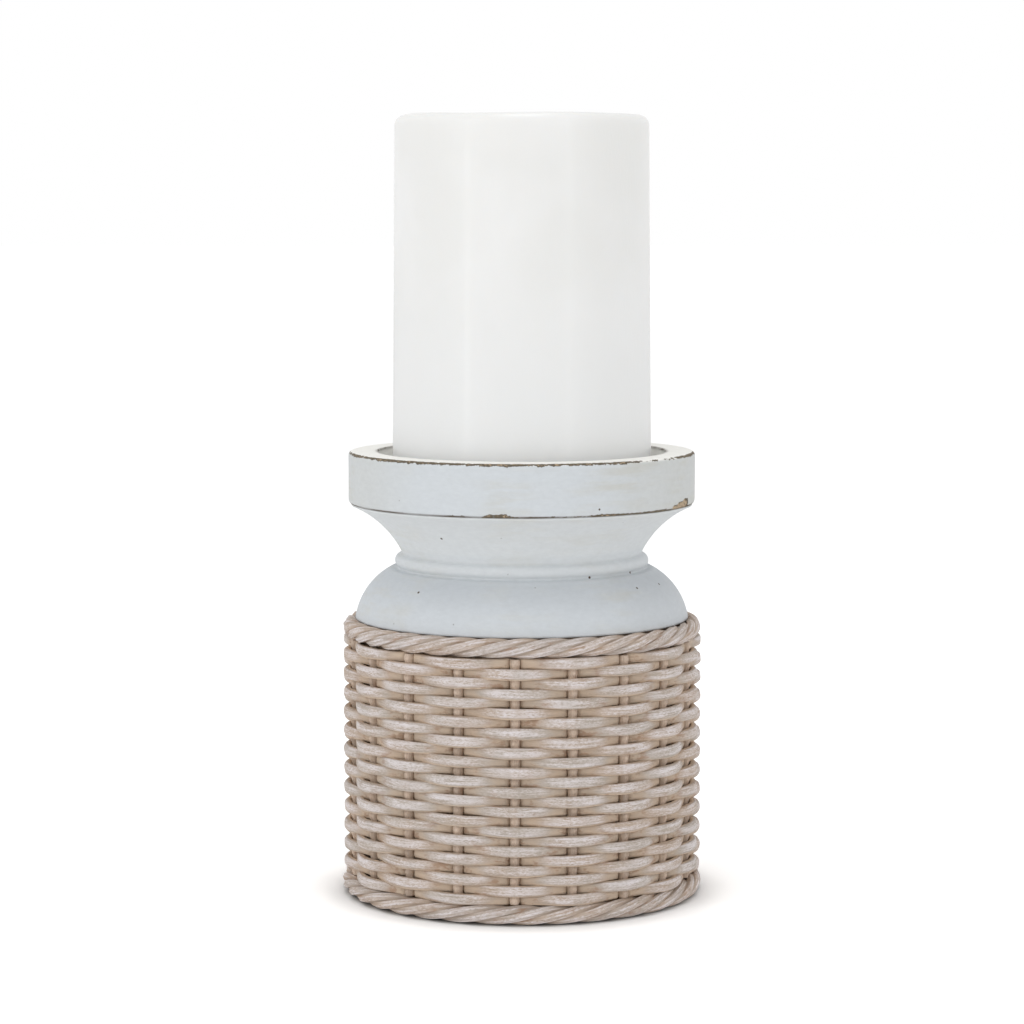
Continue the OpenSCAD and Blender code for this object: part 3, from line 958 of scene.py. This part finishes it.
# The wick: three plaited cotton threads with a charred end
wick = {
    "swing": (0.58 * mm, 0.30 * mm),
    "thread": 0.44 * mm,
    "pitch": 4.2 * mm,
    "ring": 0.3 * mm,
    "sides": 12,
    "charred": (3.4 * mm, 2.2 * mm),
}


def makeWick():
    # thread k: x = a sin(wz + k/3 turn), y = b sin(2 (wz + k/3 turn)), with a round section
    low, high = span("candle_wick")
    z = np.arange(low[2], high[2] - wick["thread"] * 0.3, wick["ring"])
    around = 2 * np.pi * np.arange(wick["sides"]) / wick["sides"]
    a, b = wick["swing"]
    threads = []
    for k in range(3):
        phase = 2 * np.pi * (z / wick["pitch"] + k / 3)
        x, y = a * np.sin(phase), b * np.sin(2 * phase)
        end = np.sqrt(np.clip((high[2] - z) / (2 * wick["thread"]), 0.05, 1.0))
        radius = wick["thread"] * end * (1 + 0.05 * np.sin(9 * phase))
        threads.append(np.stack([
            x[:, None] + radius[:, None] * np.cos(around),
            y[:, None] + radius[:, None] * np.sin(around),
            np.broadcast_to(z[:, None], (len(z), len(around))),
        ], axis=-1))
    every = np.concatenate([grid.reshape(-1, 3) for grid in threads])
    charStart, charFull = wick["charred"]
    char = smooth(every[:, 2], high[2] - charStart, high[2] - charFull)
    piece = gridMesh("plaitedWick", threads, attributes={"char": char[:, None]})
    return finish(piece, "candle", "wick_cotton", ["candle_wick"], waxedCotton)


makeWick()
print("wick made")


# The weave: reed stakes, and one long weaver in five lengths that spirals over and under them
weave = {
    "stakes": 19,
    "startAngle": np.radians(78.32),
    "climbStakes": 3,
    "firstRow": 7.134 * mm,
    "rowPitch": 2.81 * mm,
    "behind": 46.7 * mm,
    "over": 52.2 * mm,
    "ends": (0, 94, 188, 284, 378, 472),
    "ringsPerStake": 20,
    "sides": 24,
    "hug": 0.45,
    "dipWidth": 0.09,
    "halfDepth": 1.26 * mm,
    "halfHeight": 1.42 * mm,
    "swell": (0.28 * mm, 0.34 * mm),
    "wander": 0.09 * mm,
    "sway": 0.22 * mm,
    "stakeRadius": 1.4 * mm,
    "stakeBend": 0.10 * mm,
    "knuckle": (0.95 * mm, 0.5 * mm),
}
stakeStep = 2 * np.pi / weave["stakes"]


def sectionPoints(sides, square, ridges, ridgeDepth, phase):
    # a rounded square section, clockwise, with fibre ridges that wander along the strand
    around = -2 * np.pi * np.arange(sides) / sides
    c, s = np.cos(around), np.sin(around)
    ridge = 1 - ridgeDepth * (0.5 + 0.5 * np.cos(ridges * around + phase[:, None]))
    across = np.sign(c) * np.abs(c) ** square * ridge
    up = np.sign(s) * np.abs(s) ** square * ridge
    return across, up, 0.5 - 0.5 * np.cos(ridges * around + phase[:, None])


def strandPlace(along, outward, upward):
    # place in the reed itself: distance along it, then the two offsets from its middle
    return np.stack([np.broadcast_to(along[:, None], outward.shape), outward, upward], axis=-1)


def reedMarks(strand, crest, tone):
    tone = np.clip(tone, 0, 1)[:, None] * np.ones_like(crest)
    return {"strand": strand, "crest": crest, "tone": tone}


def alongNoise(position, seed, size):
    # random values at whole positions, joined by smooth curves
    draw = np.random.default_rng(seed).normal(0.0, size, 600)
    base = np.floor(position).astype(int)
    share = smooth(position - base, 0.0, 1.0)
    return draw[base % 600] * (1 - share) + draw[(base + 1) % 600] * share


def weaveLevel(turned):
    # the row reached: level, then a climb of one row at the end of each turn
    rows = np.floor(turned / (2 * np.pi))
    climb = weave["climbStakes"] * stakeStep
    return rows + smooth(turned - rows * 2 * np.pi, 2 * np.pi - climb, 2 * np.pi)


def makeWeaver(number, first, last):
    # d runs from 0 behind a stake to 1 over the next; the radius rises with it, part at once as
    # 1 - exp(-(d / w)^2.5) and part as a cosine, and the height climbs one row in each turn
    count = int((last - first) * weave["ringsPerStake"]) + 1
    u = np.linspace(first, last, count)
    u = np.clip(u - 0.6 * np.sin(np.pi * u) / np.pi, first + 0.03, last - 0.03)
    turned = u * stakeStep
    angle = weave["startAngle"] + turned
    level = weaveLevel(turned)
    fromDip = np.abs((u + 1) % 2 - 1)
    dip = np.exp(-((fromDip / weave["dipWidth"]) ** 2.5))
    crown = 0.5 - 0.5 * np.cos(np.pi * fromDip)
    rise = weave["hug"] * (1 - dip) + (1 - weave["hug"]) * crown
    radius = weave["behind"] + (weave["over"] - weave["behind"]) * rise
    radius = radius - weave["wander"] * np.abs(alongNoise(u, 100 + number, 0.6))
    height = weave["firstRow"] + weave["rowPitch"] * level
    height = height + weave["wander"] * alongNoise(u * 0.8, 200 + number, 0.8)
    drift = smooth(level, 1.0, 5.0) * smooth(-level, -23.0, -19.0)
    height = height + weave["sway"] * np.sin(3 * angle + 1.1) * drift
    outSwell, backSwell = weave["swell"]
    tall = weave["halfHeight"] + outSwell * crown**2 + backSwell * (1 - crown) ** 2
    tall = tall * (1 + alongNoise(u * 0.5, 300 + number, 0.03))
    deep = weave["halfDepth"] * (1 - np.abs(alongNoise(u * 0.5, 400 + number, 0.03)))
    length = weave["over"] * turned
    across, up, ridge = sectionPoints(
        weave["sides"], 0.74, 5, 0.07, length / (9 * mm) + 2 * np.sin(length / (23 * mm)))
    outward = deep[:, None] * across
    upward = tall[:, None] * up
    r = radius[:, None] + outward
    grid = np.stack([
        r * np.cos(angle)[:, None], r * np.sin(angle)[:, None], height[:, None] + upward], axis=-1)
    strand = strandPlace(length + number, outward, upward)
    outness = 0.25 + 0.75 * smooth(radius, 49.0 * mm, 51.8 * mm)
    crest = outness[:, None] * smooth(across + 0.3 * up, 0.0, 1.0) * (0.85 + 0.15 * ridge)
    tone = 0.5 + alongNoise(u * 0.35, 500 + number, 0.22)
    piece = gridMesh(f"reedWeaver_{number}", grid, attributes=reedMarks(strand, crest, tone))
    return finish(piece, "holder", "wicker_weave", [f"weaver_{number}"], weaveReed)


def makeStake(number):
    # a straight reed at its CAD place, with shallow ridges, a slight bend, and a swelling outwards
    # at each row that passes behind it
    name = f"stake_{number:02d}"
    low, high = span(name)
    centre = (low + high) / 2
    z = np.linspace(low[2], high[2], 260)
    radius = weave["stakeRadius"] * (1 - 0.05 * np.abs(alongNoise(z / (6 * mm), 700 + number, 0.6)))
    turned = 2 * np.pi * np.arange(25) + (number - 1) * stakeStep
    turned = turned[np.arange(25) % 2 == (number - 1) % 2]
    knuckles = weave["firstRow"] + weave["rowPitch"] * weaveLevel(turned)
    swollen = bump(z[:, None] - knuckles, weave["knuckle"][0]).sum(axis=1)
    across, up, ridge = sectionPoints(24, 1.0, 5, 0.06, 0.5 * z / (11 * mm) + number)
    way = np.arctan2(centre[1], centre[0])
    outward = radius[:, None] * across + (weave["knuckle"][1] * swollen)[:, None] * (across > 0) * across
    sideways = -(radius + 0.12 * mm * swollen)[:, None] * up
    bend = weave["stakeBend"] * np.sin(z / (17 * mm) + number)[:, None]
    x = centre[0] + outward * np.cos(way) - (sideways + bend) * np.sin(way)
    y = centre[1] + outward * np.sin(way) + (sideways + bend) * np.cos(way)
    grid = np.stack([x, y, np.broadcast_to(z[:, None], x.shape)], axis=-1)
    strand = strandPlace(z + 0.2 * number, outward, sideways)
    crest = 0.3 + 0.4 * np.clip(across, 0, 1) + 0.1 * ridge
    tone = 0.5 + alongNoise(z / (9 * mm), 800 + number, 0.25)
    piece = gridMesh(f"reedStake_{number:02d}", grid, attributes=reedMarks(strand, crest, tone))
    return finish(piece, "holder", "wicker_stakes", [name], stakeReed)


for i, (first, last) in enumerate(zip(weave["ends"][:-1], weave["ends"][1:])):
    makeWeaver(i + 1, first, last)
for i in range(weave["stakes"]):
    makeStake(i + 1)
print("weave made")


# The rope borders: four strands twisted round a ring at the top and at the foot of the weave
topRope = {
    "name": "topRopeStrand",
    "node": "top_rope_strand",
    "ring": 50.2 * mm,
    "height": 79.0 * mm,
    "helix": 1.36 * mm,
    "strand": 1.55 * mm,
    "twists": 9,
    "sides": 48,
}
footRope = {
    "name": "footRopeStrand",
    "node": "foot_rope_strand",
    "ring": 50.75 * mm,
    "height": 3.0 * mm,
    "helix": 1.38 * mm,
    "strand": 1.48 * mm,
    "twists": 8,
    "sides": 48,
}


def makeRopeStrand(rope, number):
    # the strand's centre turns twists times round the ring's circle; its section is a ridged circle
    count = 40 * rope["twists"]
    angle = 2 * np.pi * np.arange(count) / count
    twist = rope["twists"] * angle + number * np.pi / 2
    wobble = sum(
        np.cos(k * angle + phase) for k, phase in ((5, number), (11, 2.0 * number + 1), (17, 0.7)))
    helix = rope["helix"] * (1 + 0.03 * wobble)
    thick = rope["strand"] * (1 - 0.015 * (wobble + 3))
    across, up, ridge = sectionPoints(rope["sides"], 0.95, 7, 0.13, -2 * twist + number)
    outward, upward = thick[:, None] * across, thick[:, None] * up
    r = rope["ring"] + (helix * np.cos(twist))[:, None] + outward
    z = rope["height"] + (helix * np.sin(twist))[:, None] + upward
    grid = np.stack([r * np.cos(angle)[:, None], r * np.sin(angle)[:, None], z], axis=-1)
    length = rope["ring"] * angle * 1.02
    strand = strandPlace(length + number, outward, upward)
    outness = smooth(np.hypot(r - rope["ring"], z - rope["height"]), 1.5 * mm, 2.75 * mm)
    crest = outness * (0.6 + 0.4 * np.clip((r - rope["ring"]) / (2 * mm), 0, 1)) * (0.68 + 0.32 * ridge)
    tone = 0.5 + 0.25 * np.sin(2 * angle + number * 1.7) + 0.12 * wobble / 3
    piece = gridMesh(
        f"{rope['name']}_{number}", grid, closedAlong=True, attributes=reedMarks(strand, crest, tone))
    return finish(piece, "holder", "wicker_rope", [f"{rope['node']}_{number}"], ropeReed)


for rope in (topRope, footRope):
    for i in range(4):
        makeRopeStrand(rope, i + 1)
print("rope borders made")


# The felt under the base, with a soft cut edge
felt = {"segments": 200, "edge": 0.35 * mm, "fuzz": 0.06 * mm}


def makeFelt():
    # a disc with rounded edges, its faces and edge roughened by a small noise
    low, high = span("felt_pad")
    radius, edge = high[0], felt["edge"]
    outline = np.concatenate([
        [[0.05 * mm, low[2]]],
        arcPoints((radius - edge, low[2] + edge), edge, -90, 0, 5),
        arcPoints((radius - edge, high[2] - edge), edge, 0, 90, 5),
        [[0.05 * mm, high[2]]],
    ])
    profile = fillProfile(outline, 1.0 * mm)
    grid, angle, r = latheGrid(profile, felt["segments"])[:3]
    fuzz = felt["fuzz"] * (1 + ringNoise(angle, r / mm, (5, 60), 2.0, 31)) * smooth(r, 0, 4 * mm)
    pullIn(grid, angle, fuzz)
    piece = gridMesh("feltDisc", grid)
    return finish(piece, "holder", "felt", ["felt_pad"], woolFelt)


makeFelt()


# The CAD nodes that stay, each with its own finish
finishes = {
    "core_drum": drumWood,
    "base_disc": baseBoard,
    "neck_dowel": beechDowel,
    "plate_screw": zincSteel,
    "base_screws": zincSteel,
    "wick_tab": zincSteel,
}
for node, material in finishes.items():
    nodes[node].material_slots[0].material = material
print("felt and kept nodes finished")


# Studio: a white surround, a broad key from the front left, a light above, and two strips for the wax
studio = {
    "horizon": 0.94,
    "zenith": 0.74,
    "rightShade": 0.14,
    "backGlow": 0.06,
    "seen": 1.0,
    "floorSeen": 1.32,
    "contactShadow": 11.5 * mm,
    "floorBounce": 1.0,
    "key": {"place": (-0.7, -1.2, 0.7), "size": (1.0, 1.0), "power": 1.0},
    "top": {"place": (0.0, -0.1, 1.3), "size": (0.5, 0.5), "power": 2.0},
    "strips": [
        {"place": (-0.80, -0.70, 0.42), "size": (0.04, 1.1), "power": 0.9},
        {"place": (0.70, -0.78, 0.42), "size": (0.05, 1.1), "power": 0.6},
    ],
    "aim": (0.0, 0.0, 0.12),
}


def makeLight(name, place, size, power):
    data = bpy.data.lights.new(name, "AREA")
    data.shape = "RECTANGLE"
    data.size, data.size_y = size
    data.energy = power
    lamp = addObject(name, data)
    lamp.location = place
    way = Vector(studio["aim"]) - Vector(place)
    lamp.rotation_euler = way.to_track_quat("-Z", "Y").to_euler()


def makeWorld():
    # light from all round, less from above and from the far right; the camera sees plain white
    world = bpy.data.worlds.new("whiteStudio")
    world.use_nodes = True
    tree = world.node_tree
    background = tree.nodes["Background"]
    way = addNode(tree, "ShaderNodeTexCoord").outputs["Generated"]
    parts = addNode(tree, "ShaderNodeSeparateXYZ", {0: way}).outputs
    level = spread(tree, parts["Z"], 0.0, 1.0, studio["horizon"], studio["zenith"], "LINEAR")
    level = times(tree, level, spread(
        tree, parts["X"], 0.55, 0.95, 1.0, 1.0 - studio["rightShade"]))
    level = times(tree, level, spread(
        tree, parts["Y"], -1.0, 1.0, 1.0 - studio["backGlow"], 1.0 + studio["backGlow"], "LINEAR"))
    seen = addNode(tree, "ShaderNodeLightPath").outputs["Is Camera Ray"]
    strength = addNode(tree, "ShaderNodeMix", {0: seen, 2: level, 3: studio["seen"]}).outputs[0]
    background.inputs["Color"].default_value = (1.0, 1.0, 1.0, 1.0)
    tree.links.new(strength, background.inputs["Strength"])
    bpy.context.scene.world = world


def makeFloor():
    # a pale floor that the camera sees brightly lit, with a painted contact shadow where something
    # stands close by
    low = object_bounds()[0].z
    reach = 20.0
    mesh = bpy.data.meshes.new("floor")
    corners = [(-reach, -reach, low), (reach, -reach, low), (reach, reach, low), (-reach, reach, low)]
    mesh.from_pydata(corners, [], [(0, 1, 2, 3)])
    floor = addObject("floor", mesh)
    material = bpy.data.materials.new("paleFloor")
    material.use_nodes = True
    tree = material.node_tree
    tree.nodes.clear()
    seen = addNode(tree, "ShaderNodeLightPath").outputs["Is Camera Ray"]
    # painted contact shadow: the floor the camera sees darkens by the ambient occlusion of nearby things
    near = addNode(tree, "ShaderNodeAmbientOcclusion", {"Distance": studio["contactShadow"]}).outputs["AO"]
    shown = spread(tree, near, 0.0, 1.0, 0.3 * studio["floorSeen"], studio["floorSeen"], "LINEAR")
    level = addNode(tree, "ShaderNodeMix", {0: seen, 2: studio["floorBounce"], 3: shown}).outputs[0]
    colour = addNode(tree, "ShaderNodeCombineColor", {0: level, 1: level, 2: level})
    diffuse = addNode(tree, "ShaderNodeBsdfDiffuse", {"Color": colour.outputs[0]})
    out = tree.nodes.new("ShaderNodeOutputMaterial")
    tree.links.new(diffuse.outputs[0], out.inputs["Surface"])
    mesh.materials.append(material)
    floor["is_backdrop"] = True


makeWorld()
makeFloor()
makeLight("keyLight", **studio["key"])
makeLight("topLight", **studio["top"])
for i, strip in enumerate(studio["strips"]):
    makeLight(f"stripLight_{i + 1}", **strip)
bpy.context.scene.view_settings.view_transform = "Standard"
bpy.context.scene.view_settings.look = "None"
print("studio made")


# How far each thing shows from its image point
def shownPoints(*pieces):
    # the finished vertices of the pieces, in the image
    graph = bpy.context.evaluated_depsgraph_get()
    parts = []
    for piece in pieces:
        mesh = piece.evaluated_get(graph).data
        places = np.empty(len(mesh.vertices) * 3)
        mesh.vertices.foreach_get("co", places)
        parts.append(places.reshape(-1, 3))
    return project(np.concatenate(parts))


def edgeAt(points, key):
    # x of the outline on the side that the key names, at the height of that image point
    y = imagePoints[key][1]
    near = points[np.abs(points[:, 1] - y) < 2.0]
    return (near[:, 0].min() if key.endswith("Left") else near[:, 0].max()), y


def measurePoints():
    every = shownPoints(*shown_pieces())
    sides = {
        waxPillar: ("candleLeft", "candleRight"),
        turnedPlate: ("rimLeft", "rimRight"),
        turnedNeck: ("beadLeft",),
    }
    found = {
        "leftEdge": (every[:, 0].min(), None),
        "rightEdge": (every[:, 0].max(), None),
        "topEdge": (None, every[:, 1].min()),
        "bottomEdge": (None, every[:, 1].max()),
        **{key: edgeAt(shownPoints(piece), key) for piece, keys in sides.items() for key in keys},
    }
    radius = plateHigh[0]
    front = np.array([[0, -radius, plateHigh[2] - 0.3 * mm], [0, -radius + 0.3 * mm, plateLow[2]]])
    found["rimTopFront"], found["rimFootFront"] = project(front)
    for key, place in marks.items():
        found[key] = project(place[None])[0]
    offsets = {}
    for key, (x, y) in imagePoints.items():
        shownX, shownY = found[key]
        offsets[key] = {
            "x": None if x is None else round(float(shownX - x), 2),
            "y": None if y is None else round(float(shownY - y), 2),
        }
    return offsets


for key, offset in measurePoints().items():
    print("point", key, offset)
